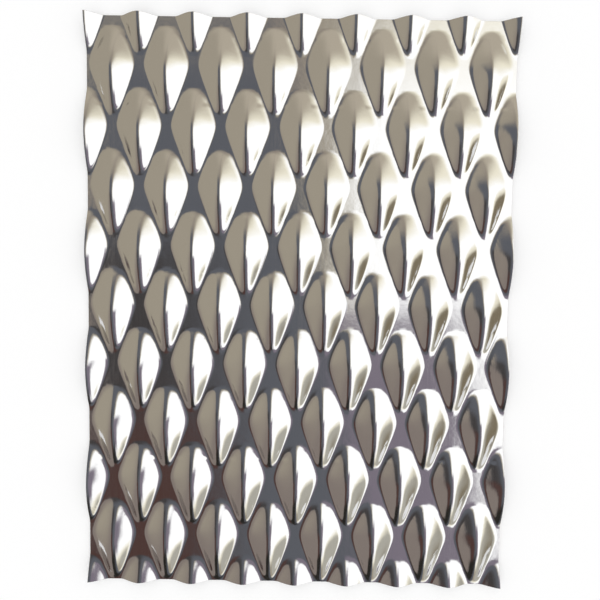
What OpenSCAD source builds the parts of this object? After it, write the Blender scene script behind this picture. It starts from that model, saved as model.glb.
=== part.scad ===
// Embossed stainless steel sheet.
// One flat-rolled sheet with staggered rows of raised leaf-shaped bosses pressed up from below.
// Units are millimetres. +Z is up and the bosses point their sharp toes to -Y.
// The origin is the middle of the underside, where the sheet rests on the floor.

/* [Sheet] */
// Width of the cut sheet, across the bosses
sheet_width = 101.2; // [60:0.1:130]
// Length of the cut sheet, along the bosses
sheet_length = 136; // [80:0.5:170]
// Thickness of the metal
sheet_thickness = 0.8; // [0.6:0.05:1.2]

/* [Pattern] */
// Distance between two bosses side by side in one row
boss_pitch = 12.7; // [12.4:0.1:16]
// Distance between one row and the next, which is set over by half a pitch
row_pitch = 14.12; // [13.8:0.02:18]
// Where the widest line of the row with a boss on the centre line lies, from the middle of the sheet
row_offset = -13.3; // [-14:0.02:14]

/* [Boss] */
// How far the crest stands up from the flats
boss_height = 2; // [1.4:0.05:2.2]
// Width of one boss at its widest line
boss_width = 10.16; // [9:0.02:10.6]
// From the widest line to the sharp toe
toe_length = 11.8; // [10.6:0.1:12.6]
// From the widest line to the rounded head
head_length = 8; // [7:0.1:8.4]
// Angle of the straight sides from the long axis
side_angle = 20; // [18.5:0.1:21.5]
// Radius of the bulge on each of the four flanks
flank_radius = 13; // [11:0.5:30]

/* [Ends] */
// Radius of the rounded head, seen from above
head_radius = 3.3; // [2.8:0.1:3.8]
// How steeply the head runs down to the flat
head_slope = 18; // [15:0.5:22]
// How steeply the toe runs down to the flat
toe_slope = 19; // [16:0.5:26]

/* [Hidden] */
half_pitch = boss_pitch / 2;
half_width = boss_width / 2;
// Distance from the crest to a side line, square to it, and the chord of the flank over it
side_reach = half_width * cos(side_angle);
flank_chord = sqrt(side_reach * side_reach + boss_height * boss_height);
flank_tilt = atan(boss_height / side_reach);
flank_drop = sqrt(flank_radius * flank_radius - flank_chord * flank_chord / 4);
flank_back = side_reach / 2 - sin(flank_tilt) * flank_drop;
flank_depth = boss_height / 2 - cos(flank_tilt) * flank_drop;
// Radius of the round body whose slanting top makes the head
head_body = head_radius / sin(head_slope);
// How far the tools that shape a boss reach past it, and how deep a boss is rooted in the sheet
reach = 60;
root = 0.15;
columns = ceil((sheet_width / 2 + half_width) / half_pitch);
rows = ceil((sheet_length / 2 + toe_length + abs(row_offset)) / row_pitch);

$fn = 96;

// The lens between two opposite flanks that bulge up to one crest, drawn square to them
module flank_lens()
    intersection() {
        translate([flank_back, flank_depth])
            circle(r = flank_radius);
        translate([-flank_back, flank_depth])
            circle(r = flank_radius);
    }

// That profile run along the straight sides
module along_sides(turn)
    rotate([0, 0, turn])
        rotate([90, 0, 0])
            linear_extrude(height = reach, center = true)
                children();

// The round body whose top runs down to the flat at the head
module head_end()
    translate([0, head_length, 0])
        rotate([-head_slope, 0, 0])
            translate([0, 0, -head_body])
                rotate([90, 0, 0])
                    cylinder(r = head_body, h = reach, center = true);

// The block whose top runs down to the flat at the toe
module toe_end()
    translate([0, -toe_length, 0])
        rotate([toe_slope, 0, 0])
            translate([-boss_width, -1, -reach])
                cube([boss_width * 2, reach, reach]);

// One boss with its crest over the origin and the flat at z = 0, cut off a little below the flat
module boss()
    intersection() {
        along_sides(side_angle)
            intersection() {
                translate([-boss_width, -root])
                    square([boss_width * 2, boss_height * 2 + root]);
                flank_lens();
            }
        along_sides(-side_angle)
            flank_lens();
        head_end();
        toe_end();
    }

// The staggered rows of bosses that touch the sheet, on a flat at height "level"
module boss_rows(level)
    for (row = [-rows : rows], column = [-columns : columns])
        let (x = column * half_pitch, y = row * row_pitch + row_offset)
            if ((row + column) % 2 == 0
                && abs(x) < sheet_width / 2 + half_width
                && y + head_length > -sheet_length / 2
                && y - toe_length < sheet_length / 2)
                translate([x, y, level])
                    boss();

// The sheet with its bosses pressed up, sheared to size through whatever bosses the edges meet
module embossed_sheet()
    color("silver")
        difference() {
            intersection() {
                union() {
                    translate([-sheet_width, -sheet_length, 0])
                        cube([sheet_width * 2, sheet_length * 2, sheet_thickness]);
                    boss_rows(sheet_thickness);
                }
                translate([-sheet_width / 2, -sheet_length / 2, -1])
                    cube([sheet_width, sheet_length, sheet_thickness + boss_height * 2 + 1]);
            }
            boss_rows(0);
        }

embossed_sheet();
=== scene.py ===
"""Embossed stainless sheet: its pressed surface, its bright polished steel and a plain stage."""

import math

import bpy
import numpy as np
from bpy.props import FloatProperty, FloatVectorProperty, IntProperty, PointerProperty
from mathutils import Matrix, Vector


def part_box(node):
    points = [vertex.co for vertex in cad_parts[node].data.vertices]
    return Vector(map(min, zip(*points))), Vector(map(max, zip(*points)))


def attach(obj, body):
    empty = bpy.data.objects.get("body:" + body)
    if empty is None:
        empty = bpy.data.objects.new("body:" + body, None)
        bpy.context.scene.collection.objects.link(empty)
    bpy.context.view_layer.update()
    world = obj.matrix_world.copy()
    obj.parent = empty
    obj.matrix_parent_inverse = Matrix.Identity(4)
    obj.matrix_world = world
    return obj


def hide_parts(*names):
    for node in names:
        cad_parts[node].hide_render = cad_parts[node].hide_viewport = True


bl_info = {
    "name": "Embossed steel sheet",
    "version": (1, 0, 0),
    "blender": (4, 5, 0),
    "location": "View3D > Sidebar > Embossed sheet",
    "description": "Makes the pressed surface of a stainless sheet, its steel and its stage",
    "category": "Add Mesh",
}

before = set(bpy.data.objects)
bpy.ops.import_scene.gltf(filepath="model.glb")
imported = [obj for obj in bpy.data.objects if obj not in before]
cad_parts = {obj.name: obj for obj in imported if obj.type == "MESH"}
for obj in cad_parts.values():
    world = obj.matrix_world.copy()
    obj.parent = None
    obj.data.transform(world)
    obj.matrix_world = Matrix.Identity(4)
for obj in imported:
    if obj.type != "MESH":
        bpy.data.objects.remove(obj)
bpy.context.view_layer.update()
SHEET_LOW, SHEET_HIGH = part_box("embossed_sheet")

MM = 0.001

# The part's lowest and highest corners, in millimetres as all shapes below are
LOW, HIGH = np.array(SHEET_LOW) / MM, np.array(SHEET_HIGH) / MM

# How far the keel and the ridge bow upwards, from 0 for a straight run
KEEL_BOW = 1.21
RIDGE_BOW = 0.4
# Length over which the rounding of the keel turns into that of the ridge at the crest
CREST_TURN = 1.4
# How softly the fall of the flanks runs out past the toe and the head
END_DROP = 0.5
# Rise of the rounded head over the distance from its outline, and how softly it meets the flanks
HEAD_SLOPE = 0.51
HEAD_BLEND = 0.24
# Half width that a boss keeps past its ends
LEAST_WIDTH = 0.15
# Height that stands for no boss at all
FAR_BELOW = -9.0

# Steps at which heights are taken for a slope, points along the spine and passes that find its peak
SLOPE_STEP = 0.03
SPINE_POINTS = 400
PEAK_PASSES = 4
# How much closer mesh lines stand along the keels than on average
KEEL_CROWDING = 0.3
# The sizes that aren't lengths
PLAIN_NUMBERS = ("side_angle", "keel_bulge", "ridge_bulge", "lines_across", "lines_along")
# Outward directions of the sheared walls in front, at the right, at the back and at the left
WALL_NORMALS = np.array([[0, -1, 0], [1, 0, 0], [0, 1, 0], [-1, 0, 0]], dtype=float)

# Lengths and depths of the unevenness of the steel, and the width and length of its polishing lines
WAVE_LENGTH, WAVE_DEPTH = 7 * MM, 0.03 * MM
RIPPLE_LENGTH, RIPPLE_DEPTH = 1.6 * MM, 0.012 * MM
LINE_WIDTH, LINE_LENGTH = 0.3 * MM, 9 * MM
# The part of the noise's range that the lines use, and how far they vary the roughness
GRAIN_LOW, GRAIN_HIGH = 0.3, 0.7
ROUGHNESS_SWING = 0.3

# Soft-edged zones of the room over the steel, painted one over the other. Each fades out along some
# directions, turned from the right, from one angle to another, in degrees from straight up
ZONES = (
    # Lighter wall towards the top
    ("#A89F8F", ((-95, -49, -35), (192, -15, 33))),
    # Browner wall at the lower left
    ("#7A706A", ((138, 6, 44), (-6, -6, 1))),
    # Grey wall at the right, round the window
    ("#A5A298", ((186, -27, -21), (91, 17, 21))),
    # The far end of that wall, out of the light
    ("#756B58", ((188, -72, -53), (91, 17, 21))),
    # Cream glow round the window
    ("#E6E0CC", ((176, -16, -1), (-37, 55, 63), (103, 22, 45), (-95, 50, 64))),
    # The window
    ("#FFFFFF", ((183, -11, -3), (-33, 53, 58), (97, 15, 33), (-80, 46, 60))),
    # Curtain at the lower left of the window
    ("#746C77", ((185, -3, 5), (5, 17, 23), (90, -8, 0), (-80, 40, 56))),
    # Dark opening overhead, darker to the left and at the bottom
    ("#55575D", ((180, 23, 27), (10, 0, 5), (95, 24, 38))),
    ("#3A3737", ((180, 23, 27), (0, -20, -2), (90, 0, 10))),
    ("#48332F", ((180, 22, 28), (0, -16, -5), (90, -22, -12))),
    ("#211F1C", ((174, 20, 28), (-12, 8, 24), (114, -43, -33))),
)
# Bright enough that the steel mirrors the window as white
ROOM_STRENGTH = 1.5
# Keeps the angles finite for directions that point down
LEAST_UP = 0.5

# How far the floor runs, in metres, and its gap under the sheet, in millimetres
FLOOR_REACH = 3.0
FLOOR_GAP = 0.02

# Where the camera stands over the sheet, its right, up and back directions, and its lens
CAMERA_PLACE = (0.39, 6.92, 105.89)
CAMERA_AXES = (
    (0.9999, 0.0155, -0.0006),
    (-0.0155, 0.9988, -0.0469),
    (-0.0001, 0.0469, 0.9989),
)
CAMERA_LENS = 26.22
CAMERA_SENSOR = 36.0
NEAREST_SEEN = 1 * MM


def linear(code):
    """The linear colour of an sRGB hex code."""
    parts = [int(code[i : i + 2], 16) / 255 for i in (1, 3, 5)]
    return [c / 12.92 if c <= 0.04045 else ((c + 0.055) / 1.055) ** 2.4 for c in parts]


def length(name, description, millimetres):
    """A length property, given in millimetres."""
    return FloatProperty(
        name=name,
        description=description,
        default=millimetres * MM,
        min=0.0,
        precision=5,
        unit="LENGTH",
    )


def share(name, description, default):
    """A property that is a share of something."""
    return FloatProperty(name=name, description=description, default=default, subtype="FACTOR")


def colour(name, description, code):
    """A colour property, given as an sRGB hex code."""
    return FloatVectorProperty(
        name=name,
        description=description,
        default=linear(code),
        min=0.0,
        max=1.0,
        size=3,
        subtype="COLOR",
    )


class SheetSizes(bpy.types.PropertyGroup):
    """Sizes of the sheet and of one pressed boss."""

    thickness: length("Thickness", "Thickness of the metal", 0.8)
    boss_pitch: length("Boss pitch", "Between two bosses side by side", 12.7)
    row_pitch: length("Row pitch", "Between one row and the next, set over by half a pitch", 14.12)
    row_shift: length("Row shift", "How far the rows are moved towards the toes", 13.63)
    toe: length("Toe", "From the crest to the sharp toe", 11.3)
    head: length("Head", "From the crest to the rounded head", 8.25)
    half_width: length("Half width", "Half the width of a boss at the crest", 4.92)
    waist: length("Waist rounding", "Rounding of the widest point of the outline", 1.5)
    keel_top: length("Keel at the crest", "Rounding of the keel where it leaves the crest", 0.6)
    keel_toe: length("Keel at the toe", "Rounding of the keel at the toe", 3.2)
    ridge: length("Ridge rounding", "Rounding of the ridge from the crest to the head", 1.4)
    crest_blend: length("Crest blend", "How softly the keel runs over the crest", 0.38)
    foot_blend: length("Foot blend", "How softly the flanks run out into the flat", 0.34)
    edge_break: length("Edge break", "Broken edge all round the sheared sheet", 0.12)
    side_angle: FloatProperty(
        name="Side angle",
        description="Angle of the sides of a boss from its long axis",
        default=math.radians(20.77),
        subtype="ANGLE",
    )
    keel_bulge: share("Keel bulge", "How far the right flank by the keel swells out", 0.02)
    ridge_bulge: share("Ridge bulge", "How far the flanks beside the ridge swell out", 0.14)
    lines_across: IntProperty(
        name="Lines per half pitch",
        description="Mesh lines across half a pitch",
        default=24,
        min=4,
    )
    lines_along: IntProperty(
        name="Lines along",
        description="Mesh lines along the sheet, an even number",
        default=194,
        min=40,
    )


class SheetFinish(bpy.types.PropertyGroup):
    """Colours of the steel and of the stage."""

    steel: colour("Steel", "Bright polished stainless steel", "#DADADA")
    floor: colour("Floor", "Plain pale floor", "#FFFFFF")
    room: colour("Room", "Walls that the steel mirrors", "#968E7F")
    roughness: share("Roughness", "How much the polish blurs what it mirrors", 0.1)


def add(tree, kind, inputs=None, **settings):
    """Adds one node, sets it up and feeds its inputs with values or with other nodes' outputs."""
    node = tree.nodes.new(kind)
    for key, value in settings.items():
        setattr(node, key, value)
    for key, value in (inputs or {}).items():
        if isinstance(value, bpy.types.NodeSocket):
            tree.links.new(value, node.inputs[key])
        else:
            node.inputs[key].default_value = value
    return node


def smooth_min(a, b, blend):
    """The lower of two heights, rounded where they meet."""
    part = np.clip(0.5 + 0.5 * (b - a) / blend, 0, 1)
    return b * (1 - part) + a * part - blend * part * (1 - part)


def spine_height(y, sizes):
    """Height of the middle of a boss, up the keel from the toe and down the ridge to the head."""
    to_toe, to_head = -y / sizes["toe"], y / sizes["head"]
    keel = sizes["peak"] * (1 - to_toe) * (1 + KEEL_BOW * to_toe)
    ridge = sizes["peak"] * (1 - to_head) * (1 + RIDGE_BOW * to_head)
    return smooth_min(keel, ridge, sizes["crest_blend"])


def head_rise(x, y, width, sizes):
    """Height of the surface that rounds off the head, from the distance inside the outline."""
    angle = sizes["side_angle"]
    side = np.abs(x)
    # The head's circle touches both straight sides
    reach = (sizes["half_width"] + math.tan(angle) * sizes["waist"]) * math.cos(angle)
    centre = (sizes["head"] - reach) / (1 - math.sin(angle))
    past = y - centre
    round_head = sizes["head"] - centre - np.sqrt(x * x + past * past)
    straight_side = (width - side) * math.cos(angle)
    inside = np.where(past > side * math.tan(angle), round_head, straight_side)
    return HEAD_SLOPE * inside + np.maximum(-past, 0)


def boss_height(x, y, sizes):
    """Height over the flat of one boss, whose crest is at the origin and whose toe points to -y."""
    spine = spine_height(y, sizes)
    waist = sizes["waist"]
    narrowing = math.tan(sizes["side_angle"]) * (np.sqrt(y * y + waist * waist) - waist)
    width = np.maximum(sizes["half_width"] - narrowing, LEAST_WIDTH)
    at_keel = 1 / (1 + np.exp(np.clip(y / CREST_TURN, -30, 30)))
    at_ridge = 1 - at_keel
    to_toe = np.clip(-y / sizes["toe"], 0, 1)
    keel = sizes["keel_top"] + (sizes["keel_toe"] - sizes["keel_top"]) * to_toe
    rounding = keel * at_keel + sizes["ridge"] * at_ridge
    bulge = np.where(x > 0, sizes["keel_bulge"], 0) * at_keel + sizes["ridge_bulge"] * at_ridge
    full_fall = np.sqrt(width**2 + rounding**2) - rounding
    straight = (np.sqrt(x * x + rounding**2) - rounding) / full_fall
    fall = (1 - bulge) * straight + bulge * (x / width) ** 2
    drop = 0.5 * (spine + np.sqrt(spine * spine + END_DROP**2))
    return smooth_min(spine - drop * fall, head_rise(x, y, width, sizes), HEAD_BLEND)


def relief(x, y, sizes):
    """Height of the pressed pattern over the flat at each point."""
    half, row_pitch, shift = sizes["boss_pitch"] / 2, sizes["row_pitch"], -sizes["row_shift"]
    height = np.full_like(x, FAR_BELOW)
    nearest = np.round((y - shift) / row_pitch).astype(int)
    for step in (-1, 0, 1):
        row = nearest + step
        odd = np.mod(row, 2)
        column = 2 * np.round((x / half - odd) / 2).astype(int) + odd
        boss = boss_height(x - column * half, y - (row * row_pitch + shift), sizes)
        height = np.maximum(height, boss)
    return -smooth_min(-height, np.zeros_like(height), sizes["foot_blend"])


def up_normals(x, y, sizes):
    """Normals of the pressed pattern, worked out from its heights."""
    step = SLOPE_STEP
    slope_x = (relief(x + step, y, sizes) - relief(x - step, y, sizes)) / (2 * step)
    slope_y = (relief(x, y + step, sizes) - relief(x, y - step, sizes)) / (2 * step)
    normals = np.stack([-slope_x, -slope_y, np.ones_like(x)], axis=-1)
    return (normals / np.linalg.norm(normals, axis=-1, keepdims=True)).reshape(-1, 3)


def ring_of(grid):
    """The border of a grid of indices, anticlockwise from above, and the side of each step."""
    ring = np.concatenate([grid[0, :-1], grid[:-1, -1], grid[-1, :0:-1], grid[:0:-1, 0]])
    across, along = grid.shape[1] - 1, grid.shape[0] - 1
    return ring, np.repeat([0, 1, 2, 3], [across, along, across, along])


def quads_of(grid):
    """The squares of a grid of indices, facing up."""
    corners = [grid[:-1, :-1], grid[:-1, 1:], grid[1:, 1:], grid[1:, :-1]]
    return np.stack(corners, axis=-1).reshape(-1, 4)


def triangles_of(grid, heights, middles):
    """The squares of a grid, each cut along the diagonal that follows the surface better."""
    a, b, c, d = quads_of(grid).T
    first_miss = np.abs(middles - (heights[a] + heights[c]) / 2)
    other_miss = np.abs(middles - (heights[b] + heights[d]) / 2)
    across = first_miss < other_miss
    first = np.where(across, [a, b, c], [a, b, d])
    second = np.where(across, [a, c, d], [b, c, d])
    return np.stack([first, second]).transpose(2, 0, 1).reshape(-1, 3)


def plain_sizes(props):
    """The sizes as plain numbers, with the peak that makes the crest as high as the part's."""
    sizes = {}
    for key in props.__annotations__:
        sizes[key] = getattr(props, key) / (1 if key in PLAIN_NUMBERS else MM)
    sizes["peak"] = 1.0
    along = np.linspace(-sizes["toe"], sizes["head"], SPINE_POINTS)
    for _ in range(PEAK_PASSES):
        crest = spine_height(along, sizes).max()
        sizes["peak"] *= (HIGH[2] - LOW[2] - sizes["thickness"]) / crest
    return sizes


def mesh_lines(props, sizes):
    """Places of the mesh lines, closer along the keels, where the surface turns most."""
    inset = sizes["edge_break"]
    half = sizes["boss_pitch"] / 2
    count = math.ceil(HIGH[0] / half)
    part = np.arange(props.lines_across) / props.lines_across
    part = part - KEEL_CROWDING * np.sin(2 * math.pi * part) / (2 * math.pi)
    lines = ((np.arange(-count, count)[:, None] + part[None, :]) * half).ravel()
    inner = lines[(lines > LOW[0] + 2 * inset) & (lines < HIGH[0] - 2 * inset)]
    # The underside takes every second line, so there is an odd number of them
    if len(inner) % 2 == 0:
        inner = inner[:-1]
    xs = np.concatenate([[LOW[0] + inset], inner, [HIGH[0] - inset]])
    ys = np.linspace(LOW[1] + inset, HIGH[1] - inset, props.lines_along + 1)
    return xs, ys


def rim_of(border, lift, sizes):
    """A border moved out to the sheared walls, at a height over the underside of the pattern."""
    rim = border.copy()
    near = 1.5 * sizes["edge_break"]
    for axis in (0, 1):
        rim[:, axis] = np.where(rim[:, axis] < LOW[axis] + near, LOW[axis], rim[:, axis])
        rim[:, axis] = np.where(rim[:, axis] > HIGH[axis] - near, HIGH[axis], rim[:, axis])
    rim[:, 2] = relief(rim[:, 0], rim[:, 1], sizes) + lift
    return rim


def sheet_mesh(props):
    """The closed mesh of the sheet: both faces, the sheared edge and its broken corners."""
    sizes = plain_sizes(props)
    thickness, inset = sizes["thickness"], sizes["edge_break"]
    xs, ys = mesh_lines(props, sizes)

    top_x, top_y = np.meshgrid(xs, ys)
    under_x, under_y = top_x[::2, ::2], top_y[::2, ::2]
    top_z = relief(top_x, top_y, sizes) + thickness
    under_z = relief(under_x, under_y, sizes)
    top_grid = np.arange(top_x.size).reshape(top_x.shape)
    under_grid = np.arange(under_x.size).reshape(under_x.shape) + top_x.size
    top_points = np.stack([top_x, top_y, top_z], -1).reshape(-1, 3)
    under_points = np.stack([under_x, under_y, under_z], -1).reshape(-1, 3)
    both = np.concatenate([top_points, under_points])
    smooth = np.concatenate([up_normals(top_x, top_y, sizes), -up_normals(under_x, under_y, sizes)])

    # The outer rims stand out by the broken edge, over and under the sheared wall
    top_ring, top_side = ring_of(top_grid)
    under_ring, under_side = ring_of(under_grid)
    top_out = rim_of(both[top_ring], thickness - inset, sizes)
    under_out = rim_of(both[under_ring], inset, sizes)
    top_rim = np.arange(len(top_out)) + len(both)
    under_rim = np.arange(len(under_out)) + len(both) + len(top_out)
    points = np.concatenate([both, top_out, under_out])

    middle_x, middle_y = np.meshgrid((xs[1:] + xs[:-1]) / 2, (ys[1:] + ys[:-1]) / 2)
    middles = relief(middle_x, middle_y, sizes).ravel() + thickness
    top_faces = triangles_of(top_grid, top_z.ravel(), middles)
    under_faces = quads_of(under_grid)[:, ::-1]
    next_top_ring, next_under_ring = np.roll(top_ring, -1), np.roll(under_ring, -1)
    next_top, next_under = np.roll(top_rim, -1), np.roll(under_rim, -1)
    top_break = np.stack([top_rim, next_top, next_top_ring, top_ring], -1)
    under_break = np.stack([under_ring, next_under_ring, next_under, under_rim], -1)
    # One step of the lower rim spans two of the upper one
    upper = [np.roll(top_rim, -2)[::2], next_top[::2], top_rim[::2]]
    wall = np.stack([under_rim, next_under, *upper], -1)
    faces = []
    for kind in (top_faces, under_faces, top_break, under_break, wall):
        faces.extend(kind.tolist())

    # Each broken edge turns smoothly from its face to the wall
    top_wall, under_wall = WALL_NORMALS[top_side], WALL_NORMALS[under_side]
    top_turn = [top_wall, top_wall, smooth[next_top_ring], smooth[top_ring]]
    under_turn = [smooth[under_ring], smooth[next_under_ring], under_wall, under_wall]
    normals = [
        smooth[top_faces].reshape(-1, 3),
        smooth[under_faces].reshape(-1, 3),
        np.stack(top_turn, 1).reshape(-1, 3),
        np.stack(under_turn, 1).reshape(-1, 3),
        np.repeat(under_wall, wall.shape[1], axis=0),
    ]
    mesh = bpy.data.meshes.new("embossed_sheet_skin")
    mesh.from_pydata((points * MM).tolist(), [], faces)
    mesh.shade_smooth()
    mesh.normals_split_custom_set(np.concatenate(normals).tolist())
    return mesh


def polished_steel(finish):
    """Bright polished stainless steel: a clear mirror, a little uneven as pressed sheet is."""
    material = bpy.data.materials.new("polished_stainless_steel")
    material.use_nodes = True
    tree = material.node_tree
    tree.nodes.clear()
    place = add(tree, "ShaderNodeTexCoord").outputs["Object"]
    # Slow waves a few millimetres long bend what the steel mirrors by about a degree
    waves = add(
        tree, "ShaderNodeTexNoise", {"Vector": place, "Scale": 1 / WAVE_LENGTH, "Detail": 1.0}
    )
    bump = add(
        tree,
        "ShaderNodeBump",
        {"Height": waves.outputs[0], "Strength": 1.0, "Distance": WAVE_DEPTH},
    )
    # A finer unevenness from pressing makes the edges of reflections waver
    ripple = add(
        tree, "ShaderNodeTexNoise", {"Vector": place, "Scale": 1 / RIPPLE_LENGTH, "Detail": 2.0}
    )
    bump = add(
        tree,
        "ShaderNodeBump",
        {
            "Height": ripple.outputs[0],
            "Strength": 1.0,
            "Distance": RIPPLE_DEPTH,
            "Normal": bump.outputs[0],
        },
    )
    # Faint polishing lines along the sheet, drawn coarser than real ones so that they show
    stretch = (1 / LINE_WIDTH, 1 / LINE_LENGTH, 1 / LINE_LENGTH)
    lines = add(tree, "ShaderNodeMapping", {"Vector": place, "Scale": stretch})
    grain = add(
        tree, "ShaderNodeTexNoise", {"Vector": lines.outputs[0], "Scale": 1.0, "Detail": 2.0}
    )
    roughness = add(
        tree,
        "ShaderNodeMapRange",
        {
            0: grain.outputs[0],
            1: GRAIN_LOW,
            2: GRAIN_HIGH,
            3: (1 - ROUGHNESS_SWING) * finish.roughness,
            4: (1 + ROUGHNESS_SWING) * finish.roughness,
        },
    )
    shader = add(
        tree,
        "ShaderNodeBsdfPrincipled",
        {
            "Base Color": (*finish.steel, 1),
            "Metallic": 1.0,
            "Roughness": roughness.outputs[0],
            "Normal": bump.outputs[0],
        },
    )
    add(tree, "ShaderNodeOutputMaterial", {"Surface": shader.outputs[0]})
    return material


class EMBOSSED_OT_sheet(bpy.types.Operator):
    """Makes the pressed sheet with its polished steel"""

    bl_idname = "embossed.sheet"
    bl_label = "Embossed sheet"

    def execute(self, context):
        scene = context.scene
        sheet = bpy.data.objects.new("embossed_sheet_skin", sheet_mesh(scene.embossed_sizes))
        scene.collection.objects.link(sheet)
        sheet.data.materials.append(polished_steel(scene.embossed_finish))
        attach(sheet, "root")
        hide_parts("embossed_sheet")
        return {"FINISHED"}


def matt_paper(finish):
    """Matt white paper: an even white with no gloss, which keeps the soft shadow of the sheet."""
    material = bpy.data.materials.new("matt_white_paper")
    material.use_nodes = True
    tree = material.node_tree
    tree.nodes.clear()
    matt = add(tree, "ShaderNodeBsdfDiffuse", {"Color": (*finish.floor, 1)})
    add(tree, "ShaderNodeOutputMaterial", {"Surface": matt.outputs[0]})
    return material


def studio_world(finish):
    """A plain white surround for the floor, and the room with one window that the steel mirrors."""
    world = bpy.data.worlds.new("studio")
    world.use_nodes = True
    tree = world.node_tree
    tree.nodes.clear()
    toward = add(tree, "ShaderNodeTexCoord").outputs["Generated"]
    axes = add(tree, "ShaderNodeSeparateXYZ", {0: toward}).outputs
    # The tangent of half the angle from straight up, to the right and to the top
    up = add(tree, "ShaderNodeMath", {0: axes[2], 1: 1.0}, operation="ADD").outputs[0]
    up = add(tree, "ShaderNodeMath", {0: up, 1: LEAST_UP}, operation="MAXIMUM").outputs[0]
    right = add(tree, "ShaderNodeMath", {0: axes[0], 1: up}, operation="DIVIDE").outputs[0]
    top = add(tree, "ShaderNodeMath", {0: axes[1], 1: up}, operation="DIVIDE").outputs[0]
    place = add(tree, "ShaderNodeCombineXYZ", {0: right, 1: top}).outputs[0]
    shown = (*finish.room, 1)
    for code, edges in ZONES:
        cover = 1.0
        for turn, full, gone in edges:
            way = (math.cos(math.radians(turn)), math.sin(math.radians(turn)), 0)
            along = add(tree, "ShaderNodeVectorMath", {0: place, 1: way}, operation="DOT_PRODUCT")
            start, end = (math.tan(math.radians(angle) / 2) for angle in (full, gone))
            fade = add(
                tree,
                "ShaderNodeMapRange",
                {0: along.outputs["Value"], 1: start, 2: end, 3: 1.0, 4: 0.0},
                interpolation_type="SMOOTHSTEP",
            )
            cover = add(
                tree, "ShaderNodeMath", {0: cover, 1: fade.outputs[0]}, operation="MULTIPLY"
            ).outputs[0]
        zone = {0: cover, 6: shown, 7: (*linear(code), 1)}
        shown = add(tree, "ShaderNodeMix", zone, data_type="RGBA").outputs[2]
    room = add(tree, "ShaderNodeBackground", {0: shown, 1: ROOM_STRENGTH})
    plain = add(tree, "ShaderNodeBackground", {0: (1, 1, 1, 1), 1: 1.0})
    ray = add(tree, "ShaderNodeLightPath")
    seen = add(
        tree,
        "ShaderNodeMixShader",
        {0: ray.outputs["Is Glossy Ray"], 1: plain.outputs[0], 2: room.outputs[0]},
    )
    add(tree, "ShaderNodeOutputWorld", {"Surface": seen.outputs[0]})
    return world


class EMBOSSED_OT_stage(bpy.types.Operator):
    """Makes the floor, the studio light and the camera"""

    bl_idname = "embossed.stage"
    bl_label = "Stage"

    def execute(self, context):
        scene = context.scene
        finish = scene.embossed_finish
        corners = [(-1, -1), (1, -1), (1, 1), (-1, 1)]
        mesh = bpy.data.meshes.new("floor")
        mesh.from_pydata(
            [(x * FLOOR_REACH, y * FLOOR_REACH, 0) for x, y in corners], [], [(0, 1, 2, 3)]
        )
        mesh.materials.append(matt_paper(finish))
        floor = bpy.data.objects.new("floor", mesh)
        floor.location.z = SHEET_LOW[2] - FLOOR_GAP * MM
        scene.collection.objects.link(floor)

        scene.world = studio_world(finish)
        scene.view_settings.view_transform = "Standard"

        data = bpy.data.cameras.new("camera")
        data.lens, data.sensor_width = CAMERA_LENS, CAMERA_SENSOR
        data.clip_start = NEAREST_SEEN
        camera = bpy.data.objects.new("camera", data)
        turn = Matrix(CAMERA_AXES).transposed().to_4x4()
        camera.matrix_world = Matrix.Translation([value * MM for value in CAMERA_PLACE]) @ turn
        scene.collection.objects.link(camera)
        scene.camera = camera
        return {"FINISHED"}


class EMBOSSED_PT_panel(bpy.types.Panel):
    """Lists the sheet's sizes and finish and the operators that make it"""

    bl_idname = "EMBOSSED_PT_panel"
    bl_label = "Embossed sheet"
    bl_space_type = "VIEW_3D"
    bl_region_type = "UI"
    bl_category = "Embossed sheet"

    def draw(self, context):
        for group in (context.scene.embossed_sizes, context.scene.embossed_finish):
            for key in group.__annotations__:
                self.layout.prop(group, key)
        self.layout.operator(EMBOSSED_OT_sheet.bl_idname)
        self.layout.operator(EMBOSSED_OT_stage.bl_idname)


CLASSES = (SheetSizes, SheetFinish, EMBOSSED_OT_sheet, EMBOSSED_OT_stage, EMBOSSED_PT_panel)


def register():
    for cls in CLASSES:
        bpy.utils.register_class(cls)
    bpy.types.Scene.embossed_sizes = PointerProperty(type=SheetSizes)
    bpy.types.Scene.embossed_finish = PointerProperty(type=SheetFinish)


def unregister():
    del bpy.types.Scene.embossed_finish
    del bpy.types.Scene.embossed_sizes
    for cls in reversed(CLASSES):
        bpy.utils.unregister_class(cls)


def main():
    register()
    bpy.ops.embossed.sheet()
    bpy.ops.embossed.stage()


if __name__ == "__main__":
    main()
